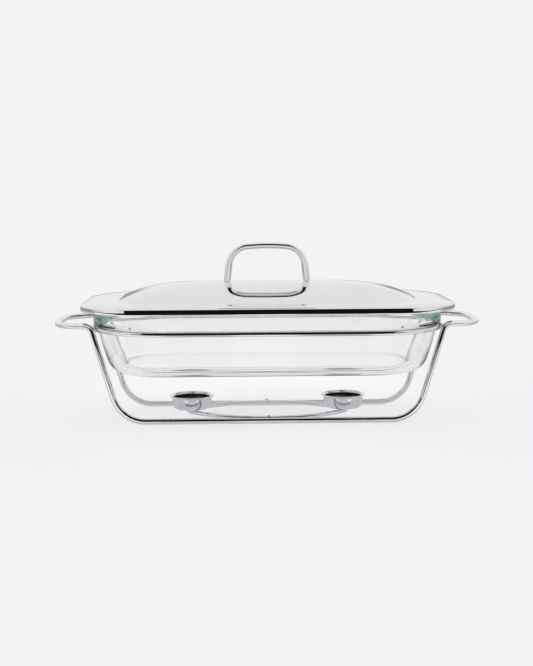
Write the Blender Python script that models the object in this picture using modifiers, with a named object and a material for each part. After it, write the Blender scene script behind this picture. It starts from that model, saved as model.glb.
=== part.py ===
"""A buffet server kept warm by two tealights: a bent wire stand, a glass dish and a steel lid.

The stand is two bent frame wires, one in front and one behind, that meet in the middle of each
end handle. A wire ring welded inside the four legs carries the glass dish by a shoulder in its
wall. An eye-shaped wire ring lies between the two floor runs and carries a steel cup at each end.
The lid is a pressed steel shell with a turned-down rim that covers the flange of the dish, and its
arched handle is held by two screws from below.

Frame: metres, +X along the length, +Y to the back, +Z up. The table is Z = 0 and the origin is
under the middle of the stand.
"""

import math

import bmesh
import bpy
from mathutils import Vector

# Clearances
GAP = 0.0003  # between solids that touch on the real object
DISH_PLAY = 0.0008  # the dish wall stands this far inside the ring
LID_PLAY = 0.0008  # the lid's rim stands this far outside the flange, on the long sides

# Frame wires
FRAME_WIRE = 0.006  # diameter
HOOP_SPACING = 0.100  # between the centrelines of the front and rear hoops
LEG_SPLAY = math.radians(16.5)  # of the legs, from upright
FLOOR_BEND = 0.034  # centreline radius between a leg and the floor run
HANDLE_ABOVE_RING = 0.004  # centreline of the end handles above the dish ring's
HANDLE_BEND = 0.009  # centreline radius between a leg and its end handle
HANDLE_REACH = 0.0354  # centreline of the handle tips past the tops of the legs
HANDLE_CORNER = 0.028  # centreline radius of the end handles' corners

# Dish ring
RING_WIRE = 0.005
RING_LENGTH = 0.353  # centreline
RING_WIDTH = 0.184
RING_CORNER = 0.074
RING_HEIGHT = 0.096

# Candle ring and cups
CANDLE_WIRE = 0.0045
CANDLE_HEIGHT = 0.0046  # centreline above the table
CANDLE_END_BEND = 0.012  # centreline radius of the narrow ends
CUP_SPACING = 0.158  # between the cups' axes
CUP_PAST_END = 0.003  # the candle ring runs this far past a cup's axis
CUP_BODY = 0.0405  # outside diameter
CUP_LIP = 0.00265  # how far the rim turns out
CUP_HEIGHT = 0.0142
CUP_WALL = 0.0007
CUP_FOOT_ROUND = 0.005

# Welds
BUTT_WELD = 0.0024  # length of the slug that joins the frame wires
BEAD = 0.0026  # diameter of the other welds

# Glass dish
DISH_DEPTH = 0.069  # outside, from the flange's top to the underside
GLASS = 0.0045
SHOULDER = 0.0035  # width of the step that rests on the ring
FLANGE_REACH = 0.0078  # of the flange's edge past the wall where it passes through the ring
FLANGE_CORNER = 0.048
FLANGE_THICKNESS = 0.004
FOOT_INSET = 0.0285  # of the edge of the underside from the wall at the ring
DISH_ABOVE_RING = 0.0230  # from the ring's centreline to the flange's top

# Lid
LID_SHEET = 0.0008
LID_END_REACH = 0.0065  # of the rim past the flange, at the two ends
LID_CORNER = 0.058
LID_RISE = 0.0203  # from the flange's top to the middle of the lid
LID_SKIRT = 0.0040  # how far the rim hangs below the flange's top
LID_SEAT = 0.0008  # of the flat shoulder above the flange, at the rim
SHOULDER_RISE = 0.0034  # of the dome's foot above the flange's top
DOME_END_INSET = 0.0375  # of the dome's foot from the rim, at the two ends
DOME_SIDE_INSET = 0.015
DOME_SIDE_POWER = 1.6  # the dome falls towards the long sides as the distance to this power
DOME_CORNER = 0.6  # corner radius of the dome's level sections, as a share of their half width
PLATEAU_MARGIN = 0.0172  # of the flat middle past the middles of the handle's feet
PLATEAU_SIDE = 0.004  # of the flat middle past the handle's faces

# Lid handle
HANDLE_FOOT_SPACING = 0.0816  # between the middles of the feet
HANDLE_RISE = 0.0402  # over the lid
HANDLE_CROWN = 0.0022  # the middle of its top stands this far above the corners
HANDLE_THICKNESS = 0.0072
HANDLE_DEPTH = 0.014
HANDLE_LEAN = math.radians(6)  # of its legs, towards each other
HANDLE_ROUND = 0.021  # middle radius of its upper corners
HANDLE_TOP_ROUND = 0.200  # middle radius of the arch's crown
HANDLE_EDGE = 0.0024  # rounding of its long edges

# Handle screws
SCREW = 0.004  # shank diameter
SCREW_HEAD = 0.0075
SCREW_HEAD_HEIGHT = 0.0024
SCREW_GRIP = 0.0075  # length inside the handle's foot
WASHER = 0.011
WASHER_THICKNESS = 0.0008

hoop_y = HOOP_SPACING / 2
ring_x, ring_y = RING_LENGTH / 2, RING_WIDTH / 2
dish_inset = RING_WIRE / 2 + DISH_PLAY  # of the dish's wall from the ring's centreline
wall_x, wall_y, wall_corner = ring_x - dish_inset, ring_y - dish_inset, RING_CORNER - dish_inset
flange_x, flange_y = wall_x + FLANGE_REACH, wall_y + FLANGE_REACH
flange_top = RING_HEIGHT + DISH_ABOVE_RING
handle_z = RING_HEIGHT + HANDLE_ABOVE_RING
lid_top = flange_top + GAP + LID_RISE
cup_x = CUP_SPACING / 2
candle_z = CANDLE_HEIGHT


def clear_scene():
    for thing in list(bpy.data.objects):
        bpy.data.objects.remove(thing, do_unlink=True)


def material(name, colour, roughness, metallic=0.0, transmission=0.0):
    made = bpy.data.materials.new(name)
    made.use_nodes = True
    shader = made.node_tree.nodes["Principled BSDF"]
    shader.inputs["Base Color"].default_value = (*colour, 1)
    shader.inputs["Roughness"].default_value = roughness
    shader.inputs["Metallic"].default_value = metallic
    shader.inputs["Transmission Weight"].default_value = transmission
    return made


def add(name, data, collection, finish=None):
    """A new object that holds the mesh or curve, in the collection."""
    made = bpy.data.objects.new(name, data)
    collection.objects.link(made)
    if finish:
        data.materials.append(finish)
    return made


def smooth(thing, angle=35):
    thing.data.shade_smooth()
    thing.data.set_sharp_from_angle(angle=math.radians(angle))


def rounded_path(corners, radii, step=math.radians(12)):
    """The corners joined by straight runs, with each corner turned on an arc of its radius."""
    corners = [Vector(c) for c in corners]
    path = [corners[0]]
    for before, corner, after, radius in zip(corners, corners[1:], corners[2:], radii):
        back, ahead = (before - corner).normalized(), (after - corner).normalized()
        half = back.angle(ahead) / 2
        centre = corner + (back + ahead).normalized() * radius / math.sin(half)
        start = corner + back * radius / math.tan(half)
        turn = math.pi - 2 * half
        across = (start - centre).normalized()
        along = -back
        count = max(2, math.ceil(turn / step))
        for i in range(count + 1):
            a = turn * i / count
            path.append(centre + radius * (across * math.cos(a) + along * math.sin(a)))
    return path + [corners[-1]]


def wire(name, path, diameter, collection, finish, closed=False):
    """A round wire of twelve flats along the path, with a flat facing straight down."""
    flats = 12
    curve = bpy.data.curves.new(name, "CURVE")
    curve.dimensions = "3D"
    curve.bevel_depth = diameter / 2 / math.cos(math.pi / flats)
    curve.bevel_resolution = 4
    curve.twist_mode = "Z_UP"
    curve.use_fill_caps = not closed
    spline = curve.splines.new("POLY")
    spline.points.add(len(path) - 1)
    for point, place in zip(spline.points, path):
        point.co = (*place, 1)
        point.tilt = math.pi / flats
    spline.use_cyclic_u = closed
    spline.use_smooth = True
    return add(name, curve, collection, finish)


def rounded_rectangle(half_x, half_y, corner, z, per_corner=8):
    """Points of a level rounded rectangle, anticlockwise from above."""
    points = []
    for quarter, (sx, sy) in enumerate(((1, 1), (-1, 1), (-1, -1), (1, -1))):
        for i in range(per_corner):
            a = (quarter + i / (per_corner - 1)) * math.pi / 2
            x = sx * (half_x - corner) + corner * math.cos(a)
            y = sy * (half_y - corner) + corner * math.sin(a)
            points.append((x, y, z))
    return points


def loft(name, sections, collection, finish, cap_first=True, cap_last=True):
    """A skin over closed sections that have the same number of points."""
    mesh = bpy.data.meshes.new(name)
    shape = bmesh.new()
    rings = [[shape.verts.new(p) for p in section] for section in sections]
    for low, high in zip(rings, rings[1:]):
        for i, corner in enumerate(low):
            j = (i + 1) % len(low)
            shape.faces.new((corner, low[j], high[j], high[i]))
    if cap_first:
        shape.faces.new(rings[0][::-1])
    if cap_last:
        shape.faces.new(rings[-1])
    shape.to_mesh(mesh)
    shape.free()
    made = add(name, mesh, collection, finish)
    smooth(made)
    return made


def turned(name, profile, place, collection, finish, steps=32):
    """A profile of (radius, height) turned about an upright axis, listed down its outer side."""
    mesh = bpy.data.meshes.new(name)
    count = len(profile)
    mesh.from_pydata([(r, 0, z) for r, z in profile], [(i, i + 1) for i in range(count - 1)], [])
    made = add(name, mesh, collection, finish)
    made.location = place
    screw = made.modifiers.new("Turn", "SCREW")
    screw.steps = screw.render_steps = steps
    screw.use_merge_vertices = True
    screw.merge_threshold = 0.00001
    screw.use_smooth_shade = True
    return made


def ball(name, diameter, place, collection, finish):
    mesh = bpy.data.meshes.new(name)
    shape = bmesh.new()
    bmesh.ops.create_uvsphere(shape, u_segments=12, v_segments=8, radius=diameter / 2)
    shape.to_mesh(mesh)
    shape.free()
    made = add(name, mesh, collection, finish)
    made.location = place
    smooth(made)
    return made


def cut_hole(thing, name, diameter, place, depth, collection):
    """Bores an upright hole in the thing, from the place upwards."""
    mesh = bpy.data.meshes.new(name)
    shape = bmesh.new()
    bmesh.ops.create_cone(
        shape, cap_ends=True, segments=24, radius1=diameter / 2, radius2=diameter / 2, depth=depth
    )
    shape.to_mesh(mesh)
    shape.free()
    cutter = add(name, mesh, collection)
    cutter.location = Vector(place) + Vector((0, 0, depth / 2))
    cutter.display_type = "WIRE"
    cutter.hide_render = True
    cut = thing.modifiers.new(name, "BOOLEAN")
    cut.operation = "DIFFERENCE"
    cut.object = cutter


def crook(first, first_radius, second, second_radius):
    """The centre of a weld bead that lies in the upper crook of two round wires seen end on."""
    a = first_radius + BEAD / 2 + GAP
    b = second_radius + BEAD / 2 + GAP
    line = Vector(second) - Vector(first)
    apart = line.length
    along = (apart**2 + a**2 - b**2) / (2 * apart)
    up = math.sqrt(a**2 - along**2)
    side = Vector((-line.y, line.x)) / apart
    if side.y < 0:
        side.negate()
    return Vector(first) + line * along / apart + side * up


def ring_at_hoop():
    """Where the dish ring crosses a hoop's plane: its X, and how squarely it crosses."""
    corner_x, corner_y = ring_x - RING_CORNER, ring_y - RING_CORNER
    past = max(hoop_y - corner_y, 0)
    reach = math.sqrt(RING_CORNER**2 - past**2)
    return corner_x + reach, reach / RING_CORNER


def bend_centre():
    """The centre (X, Z) of the bend between a right leg and its end handle.

    It places the legs so that their wire touches the outside of the dish ring."""
    x, squareness = ring_at_hoop()
    touch = (FRAME_WIRE / 2 + RING_WIRE / 2 + GAP) / squareness
    z = handle_z - HANDLE_BEND
    return x + math.sqrt((HANDLE_BEND + touch) ** 2 - (RING_HEIGHT - z) ** 2), z


def leg_top_x():
    """Where a right leg's line meets the end handle's."""
    turn = math.pi / 2 - LEG_SPLAY
    return bend_centre()[0] - HANDLE_BEND * math.tan(turn / 2)


def add_frame_wire(name, side, collection, finish):
    """The front (side -1) or rear (side 1) wire: half an end handle, a leg, the floor run, and back."""
    top_x = leg_top_x()
    tip_x = top_x + HANDLE_REACH
    foot_x = top_x - (handle_z - FRAME_WIRE / 2) * math.tan(LEG_SPLAY)
    y, end_y = side * hoop_y, side * (BUTT_WELD / 2 + GAP)
    right = [
        (foot_x, y, FRAME_WIRE / 2),
        (top_x, y, handle_z),
        (tip_x, y, handle_z),
        (tip_x, end_y, handle_z),
    ]
    left = [(-px, py, pz) for px, py, pz in reversed(right)]
    radii = [HANDLE_CORNER, HANDLE_BEND, FLOOR_BEND, FLOOR_BEND, HANDLE_BEND, HANDLE_CORNER]
    wire(name, rounded_path(left + right, radii), FRAME_WIRE, collection, finish)


def add_butt_weld(name, side, collection, finish):
    """The slug between the two frame wires' ends, in the middle of an end handle."""
    x = side * (leg_top_x() + HANDLE_REACH)
    ends = [(x, y, handle_z) for y in (-BUTT_WELD / 2, BUTT_WELD / 2)]
    wire(name, ends, FRAME_WIRE, collection, finish)


def add_dish_ring(collection, finish):
    path = rounded_rectangle(ring_x, ring_y, RING_CORNER, RING_HEIGHT, per_corner=10)
    wire("dish_ring", path, RING_WIRE, collection, finish, closed=True)


def add_ring_welds(collection, finish):
    """A bead in the crook of each leg and the dish ring."""
    x, squareness = ring_at_hoop()
    centre, z = bend_centre()
    bead_x, bead_z = crook(
        (x, RING_HEIGHT), RING_WIRE / 2 / squareness, (centre, z), HANDLE_BEND + FRAME_WIRE / 2
    )
    for end, sx in (("left", -1), ("right", 1)):
        for face, sy in (("front", -1), ("rear", 1)):
            place = (sx * bead_x, sy * hoop_y, bead_z)
            ball(f"ring_weld_{face}_{end}", BEAD, place, collection, finish)


def candle_ring_half_width():
    """The half width at which the ring's wire rests against the insides of the floor runs."""
    touch = FRAME_WIRE / 2 + CANDLE_WIRE / 2 + GAP
    return hoop_y - math.sqrt(touch**2 - (candle_z - FRAME_WIRE / 2) ** 2)


def candle_ring_path():
    """An eye of two wide arcs along the floor runs and a small arc at each narrow end."""
    end_x = cup_x + CUP_PAST_END - CANDLE_END_BEND
    half = candle_ring_half_width()
    wide = (end_x**2 + half**2 - CANDLE_END_BEND**2) / (2 * (half - CANDLE_END_BEND))
    turn = math.atan2(end_x, wide - half)
    path = []
    for side in (-1, 1):
        for i in range(17):
            a = side * math.pi / 2 + turn * (i / 8 - 1)
            path.append((wide * math.cos(a), side * (half - wide) + wide * math.sin(a), candle_z))
        for i in range(1, 8):
            a = side * math.pi / 2 + turn + (math.pi - 2 * turn) * i / 8
            x = -side * end_x + CANDLE_END_BEND * math.cos(a)
            path.append((x, CANDLE_END_BEND * math.sin(a), candle_z))
    return path


def add_candle_ring(collection, finish):
    wire("candle_ring", candle_ring_path(), CANDLE_WIRE, collection, finish, closed=True)


def add_candle_ring_welds(collection, finish):
    """A bead in the groove between the candle ring and the middle of each floor run."""
    runs = (hoop_y, FRAME_WIRE / 2)
    ring = (candle_ring_half_width(), candle_z)
    y, z = crook(ring, CANDLE_WIRE / 2, runs, FRAME_WIRE / 2)
    for face, side in (("front", -1), ("rear", 1)):
        ball(f"candle_ring_weld_{face}", BEAD, (0, side * y, z), collection, finish)


def cup_floor():
    return candle_z + CANDLE_WIRE / 2 + GAP


def add_cup(name, side, collection, finish):
    """A spun cup with a rounded foot and a rim turned outwards."""
    body, wall = CUP_BODY / 2, CUP_WALL
    rim = body + CUP_LIP
    outer = [(rim, CUP_HEIGHT), (rim, CUP_HEIGHT - wall), (body, CUP_HEIGHT - 3 * wall)]
    inner = [(rim - wall, CUP_HEIGHT), (body - wall, CUP_HEIGHT - 2 * wall)]
    quarter = [math.pi / 2 * i / 5 for i in range(6)]

    def foot(radius, level):
        centre = body - CUP_FOOT_ROUND
        return [(centre + radius * math.cos(a), level - radius * math.sin(a)) for a in quarter]

    outer += foot(CUP_FOOT_ROUND, CUP_FOOT_ROUND) + [(0, 0)]
    inner += foot(CUP_FOOT_ROUND - wall, CUP_FOOT_ROUND) + [(0, wall)]
    profile = outer + inner[::-1] + outer[:1]
    turned(name, profile, (side * cup_x, 0, cup_floor()), collection, finish)


def add_cup_weld(name, side, collection, finish):
    """A bead under the cup, against the inside of the candle ring's narrow end."""
    z = cup_floor() - GAP - BEAD / 2
    reach = CANDLE_WIRE / 2 + BEAD / 2 + GAP
    inwards = math.sqrt(reach**2 - (z - candle_z) ** 2)
    x = cup_x + CUP_PAST_END - inwards
    ball(name, BEAD, (side * x, 0, z), collection, finish)


def add_dish(collection, finish):
    """The glass dish, as level sections up its outside, over the flange and down its inside.

    An inset is how far a section stands inside the wall where it passes through the ring."""
    step_z = RING_HEIGHT + RING_WIRE / 2 + GAP
    floor_z = flange_top - DISH_DEPTH
    flange_under = flange_top - FLANGE_THICKNESS
    wall_rise = step_z - floor_z
    edge = FLANGE_THICKNESS / 5  # rounding of the flange's edge
    inner_z = floor_z + GLASS
    inner_rise = wall_rise - GLASS

    def section(inset, z):
        return rounded_rectangle(wall_x - inset, wall_y - inset, wall_corner - inset, z)

    def flange(inset, z):
        return rounded_rectangle(flange_x - inset, flange_y - inset, FLANGE_CORNER - inset, z)

    # The lower wall leans out from a rounded foot: (share of FOOT_INSET, of the rise to the step).
    lean = [(1, 0), (0.72, 0.035), (0.51, 0.11), (0.37, 0.21), (0.16, 0.60)]
    foot_in = FOOT_INSET * 0.94
    sections = [section(FOOT_INSET * out, floor_z + share * wall_rise) for out, share in lean]
    sections += [
        section(0, step_z),
        section(-SHOULDER, step_z),
        section(-SHOULDER - edge / 2, flange_under - 2 * edge),
        flange(edge / 2, flange_under),
        flange(0, flange_under + edge),
        flange(0, flange_top - edge),
        flange(edge, flange_top),
        section(GLASS - SHOULDER - edge, flange_top),
        section(GLASS - SHOULDER, flange_top - edge),
        section(GLASS - SHOULDER + edge / 2, step_z + GLASS),
        section(GLASS, step_z - GLASS / 2),
    ]
    sections += [section(GLASS + foot_in * out, inner_z + s * inner_rise) for out, s in lean[::-1]]
    loft("glass_dish", sections, collection, finish)


def add_lid(collection, cutters, finish):
    """The pressed lid: a flat middle, a crowned dome, a flat shoulder and a turned-down rim."""
    rim_x, rim_y = flange_x + LID_END_REACH, flange_y + LID_PLAY + LID_SHEET
    flat_x = HANDLE_FOOT_SPACING / 2 + PLATEAU_MARGIN
    flat_y = HANDLE_DEPTH / 2 + PLATEAU_SIDE
    foot_x, foot_y = rim_x - DOME_END_INSET, rim_y - DOME_SIDE_INSET
    under_z = flange_top + GAP + LID_SHEET
    foot_z, shoulder_z = under_z + SHOULDER_RISE, under_z + LID_SEAT
    fold = 1.5 * LID_SHEET  # outside radius of the rim's turn

    # From the middle to the dome's foot: (share of the way out in X, share of the drop). The way
    # out in Y is the share of the drop raised to 1 / DOME_SIDE_POWER.
    dome = [(0, 0), (0.21, 0.025), (0.39, 0.08), (0.55, 0.18), (0.67, 0.31), (0.79, 0.50),
            (0.91, 0.77), (1, 1)]
    sections = []
    for out_x, drop in dome:
        x = flat_x + (foot_x - flat_x) * out_x
        y = flat_y + (foot_y - flat_y) * drop ** (1 / DOME_SIDE_POWER)
        sections.append(rounded_rectangle(x, y, y * DOME_CORNER, lid_top - (lid_top - foot_z) * drop))
    sections += [
        rounded_rectangle(rim_x - 5 * fold, rim_y - 3 * fold, LID_CORNER, shoulder_z + fold / 2),
        rounded_rectangle(rim_x - fold, rim_y - fold, LID_CORNER - fold, shoulder_z),
        rounded_rectangle(rim_x, rim_y, LID_CORNER, shoulder_z - fold),
        rounded_rectangle(rim_x, rim_y, LID_CORNER, flange_top - LID_SKIRT),
    ]
    lid = loft("lid_shell", sections[::-1], collection, finish, cap_first=False)
    sheet = lid.modifiers.new("Sheet", "SOLIDIFY")
    sheet.thickness = LID_SHEET
    sheet.offset = -1
    for end, side in (("left", -1), ("right", 1)):
        place = (side * HANDLE_FOOT_SPACING / 2, 0, lid_top - 0.01)
        cut_hole(lid, f"lid_hole_{end}", SCREW + 2 * GAP, place, 0.02, cutters)


def add_lid_handle(collection, cutters, finish):
    """A flat arch, thick in the plane of the lid's length, with well rounded edges."""
    base_z = lid_top + GAP
    rise = HANDLE_RISE - HANDLE_THICKNESS / 2
    lean = math.tan(HANDLE_LEAN) * rise
    foot_x = HANDLE_FOOT_SPACING / 2
    shoulder = rise - HANDLE_CROWN
    right = [(foot_x - lean, 0, shoulder), (foot_x, 0, 0)]
    left = [(-x, y, z) for x, y, z in reversed(right)]
    radii = [HANDLE_ROUND, HANDLE_TOP_ROUND, HANDLE_ROUND]
    middle = rounded_path(left + [(0, 0, rise)] + right, radii, step=math.radians(10))
    outside, inside = [], []
    for i, point in enumerate(middle):
        ahead = middle[min(i + 1, len(middle) - 1)] - middle[max(i - 1, 0)]
        out = Vector((-ahead.z, 0, ahead.x)).normalized() * HANDLE_THICKNESS / 2
        outside.append(point + out)
        inside.append(point - out)
    for edge in (outside, inside):
        edge[0].z = edge[-1].z = 0
    outline = outside + inside[::-1]

    mesh = bpy.data.meshes.new("lid_handle")
    shape = bmesh.new()
    front = [shape.verts.new((p.x, -HANDLE_DEPTH / 2, p.z)) for p in outline]
    face = shape.faces.new(front)
    pulled = bmesh.ops.extrude_face_region(shape, geom=[face])["geom"]
    moved = [v for v in pulled if isinstance(v, bmesh.types.BMVert)]
    bmesh.ops.translate(shape, verts=moved, vec=(0, HANDLE_DEPTH, 0))
    bmesh.ops.recalc_face_normals(shape, faces=shape.faces)
    long_edges = [
        e for e in shape.edges
        if abs(e.verts[0].co.y - e.verts[1].co.y) < 1e-6
        and max(v.co.z for v in e.verts) > 1e-6
    ]
    bmesh.ops.bevel(
        shape, geom=long_edges, offset=HANDLE_EDGE, segments=3, profile=0.5, affect="EDGES"
    )
    shape.to_mesh(mesh)
    shape.free()
    handle = add("lid_handle", mesh, collection, finish)
    handle.location.z = base_z
    smooth(handle)
    for end, side in (("left", -1), ("right", 1)):
        place = (side * foot_x, 0, base_z - GAP)
        depth = SCREW_GRIP + 3 * GAP
        cut_hole(handle, f"foot_hole_{end}", SCREW + 2 * GAP, place, depth, cutters)


def add_screw_and_washer(end, side, collection, finish):
    """A pan-head screw from below, through a washer and the lid, into the handle's foot."""
    x = side * HANDLE_FOOT_SPACING / 2
    washer_z = lid_top - LID_SHEET - GAP - WASHER_THICKNESS
    inner, outer = SCREW / 2 + GAP, WASHER / 2
    ring = [(outer, WASHER_THICKNESS), (outer, 0), (inner, 0), (inner, WASHER_THICKNESS)]
    turned(f"washer_{end}", ring + ring[:1], (x, 0, washer_z), collection, finish, steps=24)

    head, shank, under = SCREW_HEAD / 2, SCREW / 2, -SCREW_HEAD_HEIGHT
    length = WASHER_THICKNESS + 2 * GAP + LID_SHEET + GAP + SCREW_GRIP
    tip = SCREW / 10  # chamfer of the shank's end
    profile = [(0, length), (shank - tip, length), (shank, length - tip), (shank, 0), (head, 0),
               (head, under * 0.6), (head * 0.72, under), (0, under)]
    turned(f"screw_{end}", profile, (x, 0, washer_z - GAP), collection, finish, steps=24)


def build():
    clear_scene()
    scene = bpy.context.scene
    parts = bpy.data.collections.new("buffet_server")
    cutters = bpy.data.collections.new("cutters")
    scene.collection.children.link(parts)
    scene.collection.children.link(cutters)

    chrome = material("wire_chrome", (0.72, 0.72, 0.74), 0.08, metallic=1)
    weld = material("weld_metal", (0.50, 0.49, 0.48), 0.35, metallic=1)
    spun = material("cup_steel", (0.70, 0.70, 0.70), 0.12, metallic=1)
    glass = material("dish_glass", (0.92, 0.98, 0.95), 0.02, transmission=1)
    pressed = material("lid_steel", (0.78, 0.77, 0.76), 0.06, metallic=1)
    cast = material("handle_steel", (0.70, 0.69, 0.68), 0.07, metallic=1)
    zinc = material("fastener_steel", (0.60, 0.60, 0.58), 0.30, metallic=1)

    add_frame_wire("front_frame_wire", -1, parts, chrome)
    add_frame_wire("rear_frame_wire", 1, parts, chrome)
    add_dish_ring(parts, chrome)
    add_ring_welds(parts, weld)
    add_candle_ring(parts, chrome)
    add_candle_ring_welds(parts, weld)
    for end, side in (("left", -1), ("right", 1)):
        add_butt_weld(f"butt_weld_{end}", side, parts, weld)
        add_cup(f"candle_cup_{end}", side, parts, spun)
        add_cup_weld(f"cup_weld_{end}", side, parts, weld)
    add_dish(parts, glass)
    add_lid(parts, cutters, pressed)
    add_lid_handle(parts, cutters, cast)
    for end, side in (("left", -1), ("right", 1)):
        add_screw_and_washer(end, side, parts, zinc)


build()
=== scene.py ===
"""A buffet server kept warm by two tealights: chromed wire stand, glass dish and polished steel lid.

Everything is in metres: +X to the right end handle, +Y to the back, +Z up, the table at Z = 0.
Each piece is a grid of points worked out from a formula, placed from the boxes of the frame's nodes.
"""

import math

import bmesh
import bpy
import numpy as np
from mathutils import Matrix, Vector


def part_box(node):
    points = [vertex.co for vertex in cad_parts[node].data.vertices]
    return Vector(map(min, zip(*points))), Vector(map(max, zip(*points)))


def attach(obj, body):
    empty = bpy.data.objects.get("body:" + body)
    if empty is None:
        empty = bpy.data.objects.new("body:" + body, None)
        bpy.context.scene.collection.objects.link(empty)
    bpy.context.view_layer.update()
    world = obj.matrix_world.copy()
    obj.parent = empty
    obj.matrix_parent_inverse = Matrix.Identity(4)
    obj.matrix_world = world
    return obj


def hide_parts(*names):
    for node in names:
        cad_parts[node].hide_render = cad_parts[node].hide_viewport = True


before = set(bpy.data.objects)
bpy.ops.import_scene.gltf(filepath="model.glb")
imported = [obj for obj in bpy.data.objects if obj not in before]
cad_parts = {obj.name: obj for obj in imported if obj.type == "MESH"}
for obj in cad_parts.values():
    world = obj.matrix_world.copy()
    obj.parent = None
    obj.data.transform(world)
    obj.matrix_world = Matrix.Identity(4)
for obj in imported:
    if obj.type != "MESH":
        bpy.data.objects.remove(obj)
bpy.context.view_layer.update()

# Sizes that the boxes of the nodes don't give
LEG_SPLAY = math.radians(16.5)  # of the legs, from upright
LEG_TOP = 0.0354  # from the tips of the end handles in to the tops of the legs
FLOOR_BEND, HANDLE_BEND, HANDLE_CORNER = 0.034, 0.009, 0.028  # centreline radii of the frame wires
RING_CORNER = 0.074  # centreline radius of the dish ring's corners
CANDLE_END_BEND = 0.012  # centreline radius of the candle ring's narrow ends
RING_PLAY = 0.0008  # between the dish's wall and the ring
SHOULDER = 0.0035  # width of the dish's step over the ring
GLASS = 0.0045
SHEET = 0.0008  # of the lid
HEM = 0.0024  # height of the lid's curled hem
FLAT_MARGIN = 0.0172  # from the handle's feet to the ends of the dome's flat middle
RIM_RUN_X, RIM_RUN_Y = 0.0375, 0.015  # from the lid's rim in to the foot of its dome
FOOT_RISE, FOLD_RISE = 0.0045, 0.0019  # of the dome's foot and of the rim's fold above the flange
LID_CORNER = 0.058
GRIP_THICK, GRIP_TALL = 0.0072, 0.0402  # of the handle: its strip at the feet, and its height
GRIP_LEAN = math.radians(6)
GRIP_BEND, CROWN_BEND = 0.021, 0.200  # centreline radii of its corners and of its crown
DOME_SIDE_POWER = 1.6  # how soon the dome falls towards the long sides
DOME_CORNER = 0.6  # of the half width at the dome's foot
CUP_WALL = 0.0007
CUP_FLARE = 0.00265  # from the cup's wall out to the tip of its rim
CUP_FOOT_ROUND = 0.005
CUP_NECK_ROUND = 0.0014
WIRE_END_GAP = 0.0009  # between the middle of the end handles and the ends of the frame wires
PAINTED_END_FROM, PAINTED_END_FULL = 0.158, 0.168  # where the dish's ends, green glass with a painted dark reflection, begin and are complete
FULL = 2 * math.pi
COLOUR_A, COLOUR_B, COLOUR_OUT = 6, 7, 2  # the sockets of a Mix node for colours


# ---------------------------------------------------------------- camera

def unit(vector):
    vector = np.asarray(vector, float)
    return vector / np.linalg.norm(vector)


def place_camera(target, distance, elevation, azimuth, roll, lens):
    """Looks at the target from in front, a little above and to the left, slightly rolled."""
    e, a, r = (math.radians(angle) for angle in (elevation, azimuth, roll))
    back = np.array([-math.sin(a) * math.cos(e), -math.cos(a) * math.cos(e), math.sin(e)])
    right = np.array([math.cos(a), -math.sin(a), 0.0])
    up = np.cross(back, right)
    x_axis = math.cos(r) * right + math.sin(r) * up
    y_axis = math.cos(r) * up - math.sin(r) * right
    camera = bpy.data.objects.new("camera", bpy.data.cameras.new("camera"))
    bpy.context.scene.collection.objects.link(camera)
    pose = np.eye(4)
    pose[:3, 0], pose[:3, 1], pose[:3, 2] = x_axis, y_axis, back
    pose[:3, 3] = np.asarray(target) + distance * back
    camera.matrix_world = Matrix(pose.tolist())
    camera.data.sensor_fit = "HORIZONTAL"
    camera.data.sensor_width = 36
    camera.data.lens = lens
    camera.data.clip_start, camera.data.clip_end = 0.05, 60
    bpy.context.scene.camera = camera


place_camera(target=(-0.0007, 0, 0.0856), distance=1.241, elevation=7.09, azimuth=1.31, roll=-0.3,
             lens=80.67)


# ---------------------------------------------------------------- finishes

class Value:
    """A node's output that takes part in arithmetic: each operator adds one Math node."""

    def __init__(self, finish, socket):
        self.finish, self.socket = finish, socket

    def math(self, operation, first, second=0.0):
        return self.finish.node("ShaderNodeMath", {"operation": operation}, {0: first, 1: second})

    def __add__(self, other):
        return self.math("ADD", self, other)

    def __sub__(self, other):
        return self.math("SUBTRACT", self, other)

    def __rsub__(self, other):
        return self.math("SUBTRACT", other, self)

    def __mul__(self, other):
        return self.math("MULTIPLY", self, other)

    def __gt__(self, other):
        return self.math("GREATER_THAN", self, other)

    def __lt__(self, other):
        return self.math("LESS_THAN", self, other)

    __radd__, __rmul__ = __add__, __mul__


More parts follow.
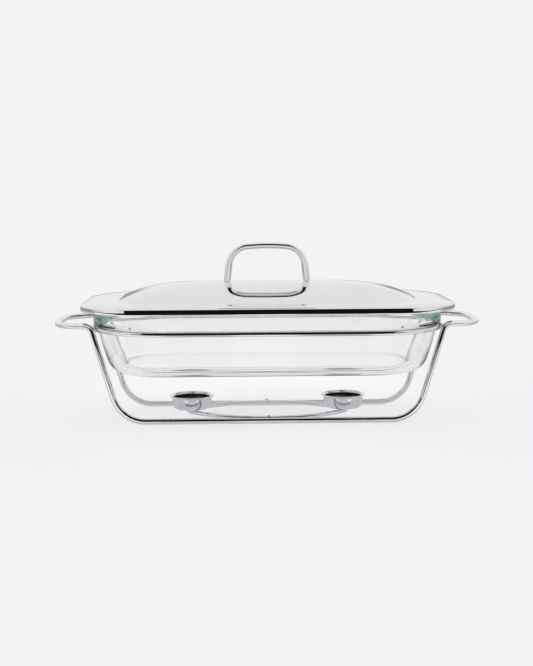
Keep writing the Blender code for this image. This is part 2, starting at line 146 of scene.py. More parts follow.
class Finish:
    """A material in the making, around one Principled BSDF."""

    def __init__(self, name, **constants):
        self.material = bpy.data.materials.new(name)
        self.material.use_nodes = True
        self.tree = self.material.node_tree
        self.shader = self.tree.nodes["Principled BSDF"]
        for socket, value in constants.items():
            self.shader.inputs[socket.replace("_", " ")].default_value = value

    def node(self, kind, settings=None, sockets=None, output=0):
        """Adds a node: its settings first, then its sockets' values or links. Returns one output."""
        made = self.tree.nodes.new(kind)
        for key, value in (settings or {}).items():
            if key == "stops":
                ramp = made.color_ramp.elements
                while len(ramp) < len(value):
                    ramp.new(0.5)
                for element, (place, colour) in zip(ramp, value):
                    element.position, element.color = place, (*colour, 1)
            else:
                setattr(made, key, value)
        for key, value in (sockets or {}).items():
            if isinstance(value, Value):
                self.tree.links.new(value.socket, made.inputs[key])
            else:
                made.inputs[key].default_value = value
        return Value(self, made.outputs[output])

    def set(self, socket, value):
        self.tree.links.new(value.socket, self.shader.inputs[socket])

    def place(self, stretch=(1, 1, 1), centre=(0, 0, 0)):
        """Object coordinates moved to the centre and then stretched, in metres."""
        here = self.node("ShaderNodeTexCoord", output="Object")
        moved = self.node("ShaderNodeVectorMath", {"operation": "SUBTRACT"}, {0: here, 1: centre})
        return self.node("ShaderNodeVectorMath", {"operation": "MULTIPLY"}, {0: moved, 1: stretch})

    def axis(self, name, vector=None):
        """One coordinate of a vector, or of the place on the object, in metres."""
        return self.node("ShaderNodeSeparateXYZ", {}, {0: vector or self.place()}, name)

    def distance(self, vector):
        return self.node("ShaderNodeVectorMath", {"operation": "LENGTH"}, {0: vector}, "Value")

    def noise(self, scale, detail=3.0, stretch=(1, 1, 1), roughness=0.5):
        sockets = {"Vector": self.place(stretch), "Scale": scale, "Detail": detail,
                   "Roughness": roughness}
        return self.node("ShaderNodeTexNoise", {}, sockets, "Fac")

    def span(self, value, low, high, from_low=0.0, from_high=1.0):
        """The value carried from one range to another, smoothly, and held at its ends."""
        sockets = {"Value": value, "From Min": from_low, "From Max": from_high,
                   "To Min": low, "To Max": high}
        return self.node("ShaderNodeMapRange", {"interpolation_type": "SMOOTHSTEP"}, sockets)

    def tint(self, mask, first, second):
        """The first colour where the mask is 0 and the second where it is 1."""
        first, second = (c if isinstance(c, Value) else (*c, 1) for c in (first, second))
        sockets = {"Factor": mask, COLOUR_A: first, COLOUR_B: second}
        return self.node("ShaderNodeMix", {"data_type": "RGBA"}, sockets, COLOUR_OUT)

    def bump(self, height, depth, strength=1.0):
        """Bumps the surface: depth is in metres for a height of 1."""
        sockets = {"Height": height, "Distance": depth, "Strength": strength}
        self.set("Normal", self.node("ShaderNodeBump", {}, sockets))


def polished(name, bright, dull, roughness, wave, wave_depth):
    """Polished metal: faint smudges, hairline scratches and a slow waviness in the surface."""
    finish = Finish(name, Metallic=1.0)
    smudge = finish.noise(38, detail=4, roughness=0.6)
    hairline = finish.noise(1.0, detail=2, stretch=(60, 900, 900))
    cross_hair = finish.noise(1.0, detail=2, stretch=(1100, 90, 700))
    scratch = finish.span(hairline, 0, 1, 0.66, 0.78) + finish.span(cross_hair, 0, 1, 0.68, 0.80)
    finish.set("Base Color", finish.tint(finish.span(smudge, 0, 1, 0.35, 0.75), bright, dull))
    finish.set("Roughness", finish.span(smudge, roughness, roughness * 1.8, 0.4, 0.8)
               + scratch * (roughness * 0.25))
    finish.bump(finish.noise(wave, detail=0), wave_depth)
    return finish


def weld_finish():
    """Plated weld beads: rougher than the wire, rippled, with a straw and brown heat tint."""
    finish = Finish("plated_weld", Metallic=1.0)
    patch = finish.noise(420, detail=4, roughness=0.65)
    heat_stops = [(0.30, (0.74, 0.74, 0.76)), (0.58, (0.62, 0.60, 0.58)), (0.75, (0.34, 0.27, 0.22))]
    finish.set("Base Color", finish.node("ShaderNodeValToRGB", {"stops": heat_stops}, {"Fac": patch}))
    finish.set("Roughness", finish.span(patch, 0.18, 0.42, 0.3, 0.7))
    finish.bump(patch, 0.0002)
    return finish


def cup_finish(centre, body_radius, floor_z):
    """Spun steel: fine turning rings round the cup's axis, and inside a dark brown that is heat stain with
    painted shade.

    The radius and the height given are those of the middle of the wall and of the floor, so that
    the edge of the stain and painted shade lies inside the metal."""
    finish = polished(f"spun_cup_{'left' if centre[0] < 0 else 'right'}", (0.80, 0.80, 0.81),
                      (0.72, 0.72, 0.73), 0.045, 60, 0.00002)
    radius = finish.distance(finish.place((1, 1, 0), (centre[0], centre[1], 0)))
    height = finish.axis("Z")
    well = (radius < body_radius) * (height > floor_z + CUP_FOOT_ROUND)
    inside = well + (radius < body_radius - CUP_FOOT_ROUND) * (height > floor_z) * (1 - well)
    streak = finish.noise(1.0, detail=4, stretch=(420, 420, 40), roughness=0.6)
    # The inside's dark browns are heat stain with painted shade of the cup's hollow.
    stain_and_shade_stops = [(0.30, (0.050, 0.036, 0.030)), (0.55, (0.16, 0.12, 0.10)), (0.75, (0.42, 0.33, 0.25))]
    stain_and_shade = finish.node("ShaderNodeValToRGB", {"stops": stain_and_shade_stops}, {"Fac": streak})
    clean = finish.tint(finish.span(streak, 0, 1, 0.4, 0.8), (0.82, 0.82, 0.83), (0.70, 0.70, 0.72))
    finish.set("Base Color", finish.tint(inside, clean, stain_and_shade))
    rings = finish.node("ShaderNodeMath", {"operation": "SINE"}, {0: radius * 9000.0})
    finish.bump(rings * 0.35 + finish.noise(90, detail=1), 0.00002)
    return finish


def glass_finish():
    """Clear pressed glass: green in its depth, and on the upright faces of its thick ends above the ring a
    deep green with a painted reflection of dark surroundings, with faint draw lines and water marks."""
    finish = Finish("pressed_glass", IOR=1.49, Transmission_Weight=1.0)
    marks = finish.noise(55, detail=5, roughness=0.6)
    finish.set("Roughness", finish.span(marks, 0.0, 0.03, 0.62, 0.80))
    finish.bump(finish.noise(1.0, detail=1, stretch=(7, 7, 40)), 0.0001)
    ring_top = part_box("dish_ring")[1].z
    x = finish.axis("X")
    facing = finish.axis("Z", finish.node("ShaderNodeNewGeometry", output="Normal"))
    upright = finish.span(facing * facing, 1, 0, 0.1, 0.6)
    # Mask of the ends: here the glass's green carries a painted, speckled reflection of dark surroundings.
    end = (finish.span(x * x, 0, 1, PAINTED_END_FROM**2, PAINTED_END_FULL**2) * upright
           * finish.span(finish.axis("Z"), 0, 1, ring_top, ring_top + 0.003))
    reflection_speckle = finish.span(finish.noise(420, detail=3, roughness=0.7), 0.25, 1, 0.35, 0.60)
    green_and_painted_reflection = finish.tint(reflection_speckle, (0.36, 0.66, 0.56), (0.04, 0.20, 0.15))
    finish.set("Base Color", finish.tint(end, (0.985, 0.987, 0.987), green_and_painted_reflection))
    depth = finish.node("ShaderNodeVolumeAbsorption", {}, {"Color": (0.25, 0.80, 0.62, 1), "Density": 2.5})
    finish.tree.links.new(depth.socket, finish.tree.nodes["Material Output"].inputs["Volume"])
    return finish


def zinc_finish():
    """Zinc-plated screws and washers: dull, mottled and a little blue."""
    finish = Finish("zinc_plate", Metallic=1.0)
    mottle = finish.noise(700, detail=4, roughness=0.7)
    finish.set("Base Color", finish.tint(finish.span(mottle, 0, 1, 0.35, 0.7),
                                         (0.62, 0.64, 0.66), (0.45, 0.46, 0.46)))
    finish.set("Roughness", finish.span(mottle, 0.22, 0.45, 0.3, 0.7))
    finish.bump(mottle, 0.00003)
    return finish


# ---------------------------------------------------------------- surfaces

def skin(name, grid, wrap_rows=False, wrap_columns=True, cap_ends=False):
    """A mesh of four-sided faces between neighbouring points of a rows x columns x 3 grid.

    Rows or columns that come round to their start are closed with a wrapped index. Points that
    fall together, as at a pole, are merged, and the normals are then made to point outwards."""
    rows, columns = grid.shape[:2]
    index = np.arange(rows * columns).reshape(rows, columns)
    caps = [index[0][::-1].tolist(), index[-1].tolist()] if cap_ends else []
    if wrap_rows:
        index = np.vstack([index, index[:1]])
    if wrap_columns:
        index = np.hstack([index, index[:, :1]])
    quads = np.stack([index[:-1, :-1], index[:-1, 1:], index[1:, 1:], index[1:, :-1]], axis=-1)
    mesh = bpy.data.meshes.new(name)
    mesh.from_pydata(grid.reshape(-1, 3).tolist(), [], quads.reshape(-1, 4).tolist() + caps)
    shape = bmesh.new()
    shape.from_mesh(mesh)
    bmesh.ops.remove_doubles(shape, verts=shape.verts, dist=1e-6)
    bmesh.ops.recalc_face_normals(shape, faces=shape.faces)
    shape.to_mesh(mesh)
    shape.free()
    mesh.shade_smooth()
    mesh.set_sharp_from_angle(angle=math.radians(50))
    made = bpy.data.objects.new(name, mesh)
    bpy.context.scene.collection.objects.link(made)
    return made


def dress(piece, finish, body, slot, *nodes):
    """Gives the piece its finish, and says what it rides on and which nodes it stands for."""
    piece.data.materials.append(finish.material)
    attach(piece, body)
    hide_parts(*nodes)


def rounded(corners, radii, step=math.radians(4)):
    """Straight runs between the corners, each corner turned on an arc tangent to both its runs."""
    corners = [np.asarray(c, float) for c in corners]
    path = [corners[0][None]]
    for before, corner, after, radius in zip(corners, corners[1:], corners[2:], radii):
        back, ahead = unit(before - corner), unit(after - corner)
        half = math.acos(np.clip(back @ ahead, -1, 1)) / 2
        centre = corner + unit(back + ahead) * radius / math.sin(half)
        across = unit(corner + back * radius / math.tan(half) - centre)
        turn = math.pi - 2 * half
        a = np.linspace(0, turn, max(3, math.ceil(turn / step)))[:, None]
        path.append(centre + radius * (across * np.cos(a) - back * np.sin(a)))
    return np.vstack([*path, corners[-1][None]])


def refine(path, longest):
    """The path with points added along runs that are longer than this."""
    pieces = []
    for start, end in zip(path[:-1], path[1:]):
        count = max(1, math.ceil(np.linalg.norm(end - start) / longest))
        pieces.append(start + (end - start) * np.linspace(0, 1, count, endpoint=False)[:, None])
    return np.vstack([*pieces, path[-1][None]])


def tangents(path, closed=False):
    """Unit tangents by central differences."""
    if closed:
        ahead = np.roll(path, -1, axis=0) - np.roll(path, 1, axis=0)
    else:
        ahead = np.gradient(path, axis=0)
    return ahead / np.linalg.norm(ahead, axis=1)[:, None]


def wire(name, path, radius, closed=False, sides=28):
    """A round wire: at each point a circle in the plane across the path.

    Point (s, a) is P(s) + r(s) * (cos a * side + sin a * rise), where side is the tangent crossed
    with Z and rise completes the square set."""
    tangent = tangents(path, closed)
    side = np.cross(tangent, [0, 0, 1])
    side /= np.linalg.norm(side, axis=1)[:, None]
    rise = np.cross(side, tangent)
    a = np.linspace(0, FULL, sides, endpoint=False)[None, :, None]
    r = np.broadcast_to(radius, len(path))[:, None, None]
    grid = path[:, None] + r * (np.cos(a) * side[:, None] + np.sin(a) * rise[:, None])
    return skin(name, grid, wrap_rows=closed, cap_ends=not closed)


def turned(name, profile, centre, sides=96):
    """A profile of (radius, height) turned about the upright axis through the centre."""
    a = np.linspace(0, FULL, sides, endpoint=False)
    r, z = profile[:, 0, None], profile[:, 1, None]
    grid = np.stack([r * np.cos(a), r * np.sin(a), z + 0 * a], axis=-1) + np.asarray(centre, float)
    return skin(name, grid, wrap_rows=bool(profile[0, 0] > 1e-6))


def oblong(half_x, half_y, corner, z, per_corner=26, per_side=14):
    """Level rounded rectangles, one for each entry of the arrays: rows x points x 3.

    Each quarter is a straight half side, an arc of the corner radius and a straight half side."""
    half_x, half_y, corner, z = (np.atleast_1d(np.asarray(v, float))[:, None]
                                 for v in np.broadcast_arrays(half_x, half_y, corner, z))
    a = np.linspace(0, math.pi / 2, per_corner)[None]
    t = np.linspace(0, 1, per_side, endpoint=False)[None]
    flat_x, flat_y = half_x - corner, half_y - corner
    x = np.hstack([half_x + 0 * t, flat_x + corner * np.cos(a), (flat_x * (1 - t))[:, 1:]])
    y = np.hstack([flat_y * t, flat_y + corner * np.sin(a), half_y + 0 * t[:, 1:]])
    quarter = np.stack([x, y], axis=-1)
    mirror_x = quarter[:, ::-1] * [-1, 1]
    ring = np.concatenate([quarter, mirror_x, quarter * -1, mirror_x * -1], axis=1)
    return np.concatenate([ring, np.broadcast_to(z[:, :, None], (*ring.shape[:2], 1))], axis=2)


def smoothstep(value):
    value = np.clip(value, 0, 1)
    return value * value * (3 - 2 * value)


def middle(node):
    low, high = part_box(node)
    return np.array([(a + b) / 2 for a, b in zip(low, high)])


# ---------------------------------------------------------------- stand

def add_frame_wires(finish):
    """The two bent wires: floor run, legs and halves of the end handles, in front and behind."""
    for face, side in (("front", -1), ("rear", 1)):
        node = f"{face}_frame_wire"
        low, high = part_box(node)
        weld_low, weld_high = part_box("butt_weld_right")
        radius = (weld_high.z - weld_low.z) / 2
        tip_x, handle_z = high.x - radius, high.z - radius
        hoop_y = side * (max(abs(low.y), abs(high.y)) - radius)
        top_x = tip_x - LEG_TOP
        foot_x = top_x - (handle_z - radius) * math.tan(LEG_SPLAY)
        end_y = side * WIRE_END_GAP
        right = [(foot_x, hoop_y, radius), (top_x, hoop_y, handle_z), (tip_x, hoop_y, handle_z),
                 (tip_x, end_y, handle_z)]
        left = [(-x, y, z) for x, y, z in reversed(right)]
        radii = [HANDLE_CORNER, HANDLE_BEND, FLOOR_BEND, FLOOR_BEND, HANDLE_BEND, HANDLE_CORNER]
        path = refine(rounded(left + right, radii), 0.012)
        dress(wire(f"{face}_wire", path, radius), finish, "stand", "wire_chrome", node)


def add_dish_ring(finish):
    """The closed ring under the dish's shoulder. Points that fall together are left out."""
    low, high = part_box("dish_ring")
    radius = (high.z - low.z) / 2
    path = oblong(high.x - radius, high.y - radius, RING_CORNER, high.z - radius)[0]
    path = path[np.linalg.norm(path - np.roll(path, 1, axis=0), axis=1) > 1e-6]
    dress(wire("support_ring", path, radius, closed=True), finish, "stand", "wire_chrome", "dish_ring")


def add_candle_ring(finish):
    """An eye of two wide arcs and two small end arcs, with a shallow neck at its butt weld behind."""
    low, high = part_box("candle_ring")
    radius = (high.z - low.z) / 2
    end_x = high.x - radius - CANDLE_END_BEND
    half, z = high.y - radius, high.z - radius
    wide = (end_x**2 + half**2 - CANDLE_END_BEND**2) / (2 * (half - CANDLE_END_BEND))
    turn = math.atan2(end_x, wide - half)
    path = []
    for side in (-1, 1):
        a = side * math.pi / 2 + np.linspace(-turn, turn, 81)
        path.append(np.stack([wide * np.cos(a), side * (half - wide) + wide * np.sin(a)], axis=-1))
        b = side * math.pi / 2 + turn + np.linspace(0, math.pi - 2 * turn, 26)[1:-1]
        path.append(np.stack([CANDLE_END_BEND * np.cos(b) - side * end_x,
                              CANDLE_END_BEND * np.sin(b)], axis=-1))
    path = np.vstack(path)
    path = np.hstack([path, np.full((len(path), 1), z)])
    neck = np.exp(-(((path[:, 0] - 0.001) / 0.0012) ** 2)) * (path[:, 1] > 0)
    dress(wire("candle_ring_wire", path, radius * (1 - 0.10 * neck), closed=True),
          finish, "stand", "wire_chrome", "candle_ring")


def add_bead(name, node, finish, stretch=(1.4, 1.4, 1.4), seed=0.0):
    """A weld bead: an ellipsoid whose radius ripples with its latitude and longitude."""
    centre = middle(node)
    low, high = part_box(node)
    radius = (high.z - low.z) / 2
    lat = np.linspace(-math.pi / 2, math.pi / 2, 21)[:, None]
    lon = np.linspace(0, FULL, 32, endpoint=False)[None]
    ripple = 1 + 0.07 * np.cos(lat) * np.sin(3 * lon + seed) + 0.05 * np.sin(5 * lat + seed)
    ball = np.stack([np.cos(lat) * np.cos(lon), np.cos(lat) * np.sin(lon), np.sin(lat) + 0 * lon],
                    axis=-1)
    grid = centre + radius * ripple[..., None] * ball * np.asarray(stretch)
    dress(skin(name, grid), finish, "stand", "weld_metal", node)


def add_butt_weld(name, node, finish):
    """The polished-over join of the two frame wires: a short drum, a little smaller at both ends."""
    centre = middle(node)
    low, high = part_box(node)
    radius, half = (high.z - low.z) / 2, (high.y - low.y) / 2
    t = np.linspace(-1, 1, 25)[:, None]
    r = radius * (0.995 - 0.05 * t**8)
    a = np.linspace(0, FULL, 40, endpoint=False)[None]
    grid = np.stack([r * np.cos(a), t * half + 0 * a, r * np.sin(a)], axis=-1) + centre
    dress(skin(name, grid, cap_ends=True), finish, "stand", "weld_metal", node)


def add_cup(name, node, finish):
    """A spun cup: rounded foot, upright wall and a rim turned out and rolled to a small bead."""
    low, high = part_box(node)
    centre = middle(node)
    rim, height = (high.x - low.x) / 2, high.z - low.z
    body, inner = rim - CUP_FLARE, rim - CUP_FLARE - CUP_WALL
    roll, step = 0.0008, math.radians(8)
    outside = rounded([(0, 0, 0), (body, 0, 0), (body, 0, height - 0.0022), (rim - roll, 0, height - roll)],
                      [CUP_FOOT_ROUND, CUP_NECK_ROUND], step)[:, [0, 2]]
    a = np.linspace(-math.pi * 0.45, math.pi * 0.75, 14)
    bead = np.stack([rim - roll + roll * np.cos(a), height - roll + roll * np.sin(a)], axis=-1)
    inside = rounded([(rim - 2.2 * roll, 0, height - 0.4 * roll), (inner, 0, height - 0.0026),
                      (inner, 0, CUP_WALL), (0, 0, CUP_WALL)],
                     [0.0018, CUP_FOOT_ROUND - CUP_WALL], step)[:, [0, 2]]
    profile = np.vstack([outside[:-1], bead, inside])
    dress(turned(name, profile, (centre[0], centre[1], low.z)), finish, "stand", "cup_steel", node)


# ---------------------------------------------------------------- dish

def add_dish(finish):
    """The pressed dish: one profile of (outset from the ring's wall, height), turned on arcs and
    carried round a rounded rectangle whose corners grow squarer towards the flange's edge."""
    low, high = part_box("glass_dish")
    ring_low, ring_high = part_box("dish_ring")
    ring = ring_high.z - ring_low.z
    wall_x, wall_y = ring_high.x - ring - RING_PLAY, ring_high.y - ring - RING_PLAY
    wall_corner = RING_CORNER - ring / 2 - RING_PLAY
    top, foot, step = high.z, low.z, ring_high.z + 0.0003
    edge, flange, edge_round, inner_round = high.x - wall_x, 0.004, 0.0012, 0.003
    knee, knee_z, heel = -0.0045, foot + 0.0293, -0.0137  # where the wall leans in, and the floor's edge
    wall_bend, heel_bend = 0.12, 0.0185
    turns = [((heel, foot), heel_bend), ((knee, knee_z), wall_bend), ((0, step), edge_round),
             ((SHOULDER, step), edge_round), ((SHOULDER + 0.0004, top - flange), edge_round),
             ((edge, top - flange), edge_round), ((edge, top), 0.0014),
             ((SHOULDER - GLASS, top), edge_round), ((SHOULDER - GLASS - 0.0003, step + 0.004), inner_round),
             ((-GLASS, step - 0.002), inner_round), ((knee - GLASS, knee_z), wall_bend),
             ((heel - GLASS, foot + GLASS), heel_bend - 0.002)]
    corners = [(-0.060, 0, foot), *((out, 0, z) for (out, z), _ in turns), (-0.064, 0, foot + GLASS)]
    outside = rounded(corners, [radius for _, radius in turns], math.radians(7))
    profile = refine(outside[:, [0, 2]], 0.006)
    out, z = profile[:, 0], profile[:, 1]
    squarer = (wall_corner + edge - 0.048) * smoothstep((out - SHOULDER) / (edge - SHOULDER))
    rings = oblong(wall_x + out, wall_y + out, wall_corner + out - squarer, z, 30, 10)
    shrink = np.linspace(1, 0, 7)[1:, None, None]
    bottom = rings[0] * np.array([1, 1, 0]) * shrink + [0, 0, z[0]]
    floor = rings[-1] * np.array([1, 1, 0]) * shrink + [0, 0, z[-1]]
    dress(skin("pressed_dish", np.concatenate([bottom[::-1], rings, floor])), finish, "dish",
          "dish_glass", "glass_dish")


# ---------------------------------------------------------------- lid

def soften(rows, start, end, times):
    """Rows between the two indices moved towards their neighbours' mean, a few times over."""
    rows = rows.copy()
    for _ in range(times):
        near = (rows[start - 1:end - 1] + 2 * rows[start:end] + rows[start + 1:end + 1]) / 4
        rows[start:end] = near
    return rows


def add_lid(finish):
    """The pressed shell, as rows of (half length, half width, height, corner radius).

    From the flat middle the dome drops by d = u^2 (1 + u^2) / 2 of its rise, where u runs along
    its length from the flat to the dome's foot, and the way out across it is d^(1 / DOME_SIDE_POWER).
    A softened crease leads to the sloping shoulder, the fold, the skirt and a hem that curls in; the
    inside is the same, one sheet lower."""
    low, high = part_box("lid_shell")
    rim_x, rim_y, top = high.x, high.y, high.z
    flange_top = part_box("glass_dish")[1].z
    flat_x, flat_y = middle("screw_right")[0] + FLAT_MARGIN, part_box("lid_handle")[1].y + 0.004
    foot_x, foot_y, foot_z = rim_x - RIM_RUN_X, rim_y - RIM_RUN_Y, flange_top + FOOT_RISE
    shoulder_z, fold = flange_top + FOLD_RISE, 0.0012

    u = np.linspace(0, 1, 61)
    drop = u**2 * (1 + u**2) / 2
    dome = np.stack([flat_x + (foot_x - flat_x) * u,
                     flat_y + (foot_y - flat_y) * drop ** (1 / DOME_SIDE_POWER),
                     top - (top - foot_z) * drop], axis=-1)
    v = np.linspace(0, 1, 25)[1:]
    shoulder = np.stack([foot_x + (rim_x - fold - foot_x) * v, foot_y + (rim_y - fold - foot_y) * v,
                         foot_z - (foot_z - shoulder_z) * v**3], axis=-1)
    rows = soften(np.vstack([dome, shoulder]), 50, 72, 2)

    def edge(inset, z):
        return np.stack([rim_x - inset, rim_y - inset, z], axis=-1)

    a = np.linspace(0, math.pi / 2, 9)[1:]
    draft = 0.0002  # the skirt stands this much further in at its top
    turn = edge(fold * (1 - np.sin(a)) + draft * np.sin(a), shoulder_z - fold * (1 - np.cos(a)))
    skirt = edge(np.linspace(draft, 0, 6)[1:], np.linspace(shoulder_z - fold, low.z + HEM, 6)[1:])
    curl = edge(0.0009 * (1 - np.cos(a)), low.z + HEM * (1 - np.sin(a)))
    lip = edge(0.0014 - 0.0005 * np.cos(a), low.z + 0.0005 - 0.0005 * np.cos(a) + 0 * a)
    back = edge(np.array([0.0014, 0.0014, 0.0012, SHEET]),
                low.z + np.array([0.0012, HEM - 0.0004, HEM, HEM + 0.0004]))
    inner_skirt = edge(np.linspace(SHEET, SHEET + draft, 4),
                       np.linspace(low.z + HEM + 0.0006, shoulder_z - fold, 4))
    inside = rows[::-1] - [0, 0, SHEET]
    outline = np.vstack([rows, turn, skirt, curl, lip, back, inner_skirt, inside])
    half_y = outline[:, 1]
    rounding = np.interp(half_y, [0, foot_y, rim_y], [0, DOME_CORNER * foot_y, LID_CORNER])
    rings = oblong(outline[:, 0], half_y, rounding, outline[:, 2], 40, 16)
    shrink = np.linspace(1, 0, 6)[1:, None, None]
    crown = rings[0] * np.array([1, 1, 0]) * shrink + [0, 0, top]
    under = rings[-1] * np.array([1, 1, 0]) * shrink + [0, 0, top - SHEET]
    dress(skin("pressed_lid", np.concatenate([crown[::-1], rings, under])), finish, "lid",
          "lid_steel", "lid_shell")


def add_lid_handle(finish):
    """The arch: a rounded oblong carried along two leaning legs, two round corners and a crown.

    Its outer long edges are rounder than its inner ones, and its faces bulge a little. The section
    keeps its outer face, and its thickness T grows from the crown to the feet: a point (n, d) of the
    full section lies at P(s) + N * (T / 2 + (n - T / 2) * share(s)) + Y * d, where N points out of
    the arch."""
    low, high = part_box("lid_handle")
    base, foot_x = low.z, middle("screw_right")[0]
    half, deep = GRIP_THICK / 2, high.y
    rise = GRIP_TALL - half
    shoulder_x = foot_x - math.tan(GRIP_LEAN) * rise
    right = [(shoulder_x, 0, base + rise - 0.0022), (foot_x, 0, base)]
    left = [(-x, y, z) for x, y, z in reversed(right)]
    path = rounded(left + [(0, 0, base + rise)] + right, [GRIP_BEND, CROWN_BEND, GRIP_BEND], math.radians(2))
    path = refine(path, 0.001)
    tangent = tangents(path)
    out = np.stack([-tangent[:, 2], 0 * tangent[:, 1], tangent[:, 0]], axis=-1)[:, None]
    section = rounded([(half, 0, 0), (half, deep, 0), (-half, deep, 0), (-half, 0, 0)],
                      [0.0026, 0.0019], math.radians(5))
    section = refine(section, 0.0006)[:-1, :2]
    section = np.vstack([section, [(-half, 0)], section[:0:-1] * [1, -1]])
    n = (section[:, 0] * (1 - 0.10 * (section[:, 1] / deep) ** 2))[None, :, None]
    d = (section[:, 1] * (1 - 0.008 * (section[:, 0] / half) ** 2))[None, :, None]
    climb = (path[:, 2] - base) / rise
    share = (0.86 + 0.14 * smoothstep(1.15 - climb))[:, None, None]
    grid = path[:, None] + out * (half + (n - half) * share) + np.array([0, 1, 0]) * d
    grid[..., 2] = np.maximum(grid[..., 2], base)
    dress(skin("handle_arch", grid, cap_ends=True), finish, "lid", "handle_steel", "lid_handle")


def add_screw(end, finish):
    """A pan head with a cross recess below, and a shank up into the handle's foot.

    The recess is as deep as a sloped wall lets it be: its depth at (x, y) is cut off where the
    smaller of |x| and |y| passes half the slot's width, or the larger passes its reach."""
    node = f"screw_{end}"
    low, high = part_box(node)
    centre = middle(node)
    head, shank, tall, length = (high.x - low.x) / 2, 0.0020, 0.0024, high.z - low.z
    flat = 0.0027  # radius of the head's flat
    a = np.linspace(0, FULL, 96, endpoint=False)[None]
    r = np.linspace(0, flat, 40)[:, None]
    x, y = r * np.cos(a), r * np.sin(a)
    narrow, wide = np.minimum(np.abs(x), np.abs(y)), np.maximum(np.abs(x), np.abs(y))
    depth = 0.0013 * np.clip((0.00050 - narrow) / 0.00012, 0, 1) * np.clip((0.0020 - wide) / 0.0006, 0, 1)
    face = np.stack([x, y, depth + 0 * x], axis=-1)
    b = np.linspace(0, math.pi / 2, 9)[1:]
    crown = np.stack([flat + (head - flat) * np.sin(b), 0.0011 * (1 - np.cos(b))], axis=-1)
    side = np.vstack([crown, [(head, tall - 0.0002), (head - 0.0002, tall), (shank, tall),
                              (shank, length - 0.0004), (shank - 0.0004, length), (0, length)]])
    rest = np.stack([side[:, :1] * np.cos(a), side[:, :1] * np.sin(a), side[:, 1:] + 0 * a], axis=-1)
    grid = np.concatenate([face, rest]) + [centre[0], centre[1], low.z]
    dress(skin(f"pan_screw_{end}", grid), finish, "lid", "fastener_steel", node)


def add_washer(end, finish):
    """A stamped washer: a ring whose upper edges are rounded and lower edges crisp."""
    node = f"washer_{end}"
    low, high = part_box(node)
    centre = middle(node)
    outer, inner, thick = (high.x - low.x) / 2, 0.0023, high.z - low.z
    ring = rounded([(inner, 0, thick), (outer, 0, thick), (outer, 0, 0), (inner, 0, 0), (inner, 0, thick)],
                   [0.0002, 0.00005, 0.00005], math.radians(30))[:-1, [0, 2]]
    dress(turned(f"plain_washer_{end}", ring, (centre[0], centre[1], low.z)), finish, "lid",
          "fastener_steel", node)


# ---------------------------------------------------------------- studio

def flat_finish(name, radiance, diffuse=0.0):
    """A card that glows evenly; with some diffuse it also takes a soft shadow."""
    return Finish(name, Base_Color=(diffuse, diffuse, diffuse, 1), Roughness=1.0, Specular_IOR_Level=0.0,
                  Emission_Color=(*radiance, 1), Emission_Strength=1.0)


def stage_piece(name, grid, finish, seen_by):
    """A sheet of the studio that only the named kinds of ray meet."""
    piece = skin(name, grid, wrap_columns=False)
    piece.data.materials.append(finish.material)
    for ray in ("camera", "diffuse", "glossy", "transmission", "shadow"):
        setattr(piece, f"visible_{ray}", ray in seen_by)


def flat_sheet(x0, x1, y0, y1, z):
    x, y = np.meshgrid([x0, x1], [y0, y1], indexing="ij")
    return np.stack([x, y, z + 0 * x], axis=-1)


def folded_sheet(half_x, y, fold_y, z0, z1):
    """A sheet that stands at y from z0 to z1 and is folded back from there to fold_y."""
    x = np.array([-half_x, half_x])[:, None]
    y, z = np.array([[y, y, fold_y]]), np.array([[z0, z1, z1 + 1e-5]])
    return np.stack([x + 0 * y, y + 0 * x, z + 0 * x], axis=-1)


def curved_card(radius, from_deg, to_deg, z0, z1):
    """An upright card on an arc round the object; angles are from +X towards +Y."""
    a = np.radians(np.linspace(from_deg, to_deg, 40))[:, None]
    z = np.linspace(z0, z1, 2)[None]
    return np.stack([radius * np.cos(a) + 0 * z, radius * np.sin(a) + 0 * z, z + 0 * a], axis=-1)


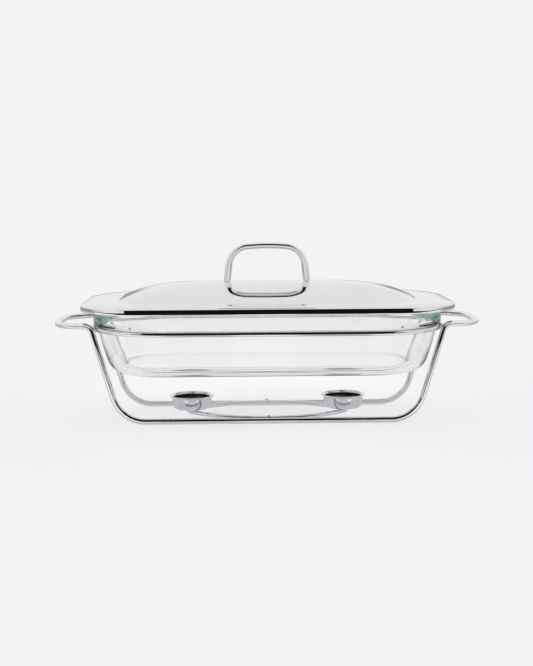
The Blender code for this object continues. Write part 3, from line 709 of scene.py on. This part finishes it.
def build_studio():
    """A pale floor and sky for the eye, the floor with a painted pool of light round the object, and cards
    that only polished metal and glass reflect.
    """
    pale = 0.896
    world = bpy.data.worlds.new("sky")
    bpy.context.scene.world = world
    world.use_nodes = True
    world.node_tree.nodes["Background"].inputs["Color"].default_value = (pale, pale, pale, 1)
    floor = flat_finish("pale_floor", (pale, pale, pale), 0.30)
    # The floor glows brighter round the object: a painted pool of light.
    pool_reach = floor.distance(floor.place((3.6, 2.6, 1), (0, 0.08, 0)))
    floor.set("Emission Color", floor.tint(floor.span(pool_reach, 1, 0, 0.3, 1.1), (0.627,) * 3, (0.70,) * 3))
    stage_piece("floor", flat_sheet(-8, 8, -8, 8, -0.0002), floor,
                ("camera", "diffuse", "transmission", "shadow"))
    mirror_only = ("glossy",)
    table = flat_finish("grey_table", (0.6, 0.6, 0.6))
    spread = table.node("ShaderNodeVectorMath", {"operation": "ABSOLUTE"}, {0: table.place()})
    x = table.axis("X", spread)
    patch = table.span(x, 1, 0, 0.025, 0.045) + table.span(x, 0, 1, 0.105, 0.118)
    patch = patch * (table.axis("Y") < -0.062)
    table.set("Emission Color", table.tint(patch, (0.60, 0.60, 0.62), (1.0, 1.0, 1.0)))
    stage_piece("table_card", flat_sheet(-1.2, 1.2, -0.25, 2.4, -0.0004), table, mirror_only)
    stage_piece("front_card", flat_sheet(-0.6, 0.6, -6, -0.6, -0.0004),
                flat_finish("front_strip", (0.80, 0.80, 0.80)), mirror_only)
    stage_piece("dark_floor_card", flat_sheet(-3.5, 3.5, -3.5, 3.5, -0.02),
                flat_finish("dark_floor", (0.02, 0.018, 0.017)), mirror_only)
    dark = flat_finish("dark_front", (0.008, 0.006, 0.005))
    stage_piece("dark_low_card", curved_card(2.6, 270 - 37, 270 + 37, 0.075, 0.25), dark, mirror_only)
    # Each board stands in front of a wire, the rim or the handle. All but the first fold back at the top.
    for name, half_x, y, fold_y, z0, z1 in (
            ("dark_ring_board", 0.198, -0.140, -0.140, 0.069, 0.110),
            ("dark_rim_board", 0.158, -0.140, -0.104, 0.110, 0.127),
            ("dark_foot_board", 0.140, -0.078, -0.057, 0.0065, 0.028),
            ("dark_grip_board", 0.050, -0.060, -0.028, 0.178, 0.250)):
        stage_piece(name, folded_sheet(half_x, y, fold_y, z0, z1), dark, mirror_only)
    band = flat_finish("grey_band", (0.4, 0.4, 0.4))
    band.set("Emission Color", band.tint(band.span(band.axis("Z"), 0, 1, 0.13, 0.28),
                                         (0.34, 0.34, 0.35), (0.88, 0.88, 0.88)))
    stage_piece("back_band_card", curved_card(2.6, -25, 205, -0.02, 0.46), band, mirror_only)
    bpy.context.scene.view_settings.view_transform = "Standard"


# ---------------------------------------------------------------- the whole

def build():
    chrome = polished("chromed_wire", (0.84, 0.84, 0.87), (0.77, 0.77, 0.81), 0.04, 25, 0.00001)
    weld = weld_finish()
    add_frame_wires(chrome)
    add_dish_ring(chrome)
    add_candle_ring(chrome)
    for end in ("left", "right"):
        node = f"candle_cup_{end}"
        low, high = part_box(node)
        centre = middle(node)
        body = (high.x - low.x) / 2 - CUP_FLARE - CUP_WALL / 2
        add_cup(f"spun_cup_{end}", node, cup_finish(centre, body, low.z + CUP_WALL / 2))
        add_butt_weld(f"butt_joint_{end}", f"butt_weld_{end}", weld)
        add_bead(f"cup_bead_{end}", f"cup_weld_{end}", weld, (1.6, 1.9, 1.1), 2.1)
        for face in ("front", "rear"):
            add_bead(f"ring_bead_{face}_{end}", f"ring_weld_{face}_{end}", weld, (1.25, 1.9, 1.25), 0.7)
    for face in ("front", "rear"):
        add_bead(f"candle_bead_{face}", f"candle_ring_weld_{face}", chrome, (1.5, 1.0, 1.0), 1.4)
    add_dish(glass_finish())
    add_lid(polished("lid_polish", (0.83, 0.82, 0.815), (0.80, 0.79, 0.785), 0.035, 14, 0.0001))
    add_lid_handle(polished("handle_polish", (0.84, 0.83, 0.825), (0.78, 0.77, 0.765), 0.03, 40, 0.00001))
    zinc = zinc_finish()
    for end in ("left", "right"):
        add_screw(end, zinc)
        add_washer(end, zinc)
    build_studio()


build()
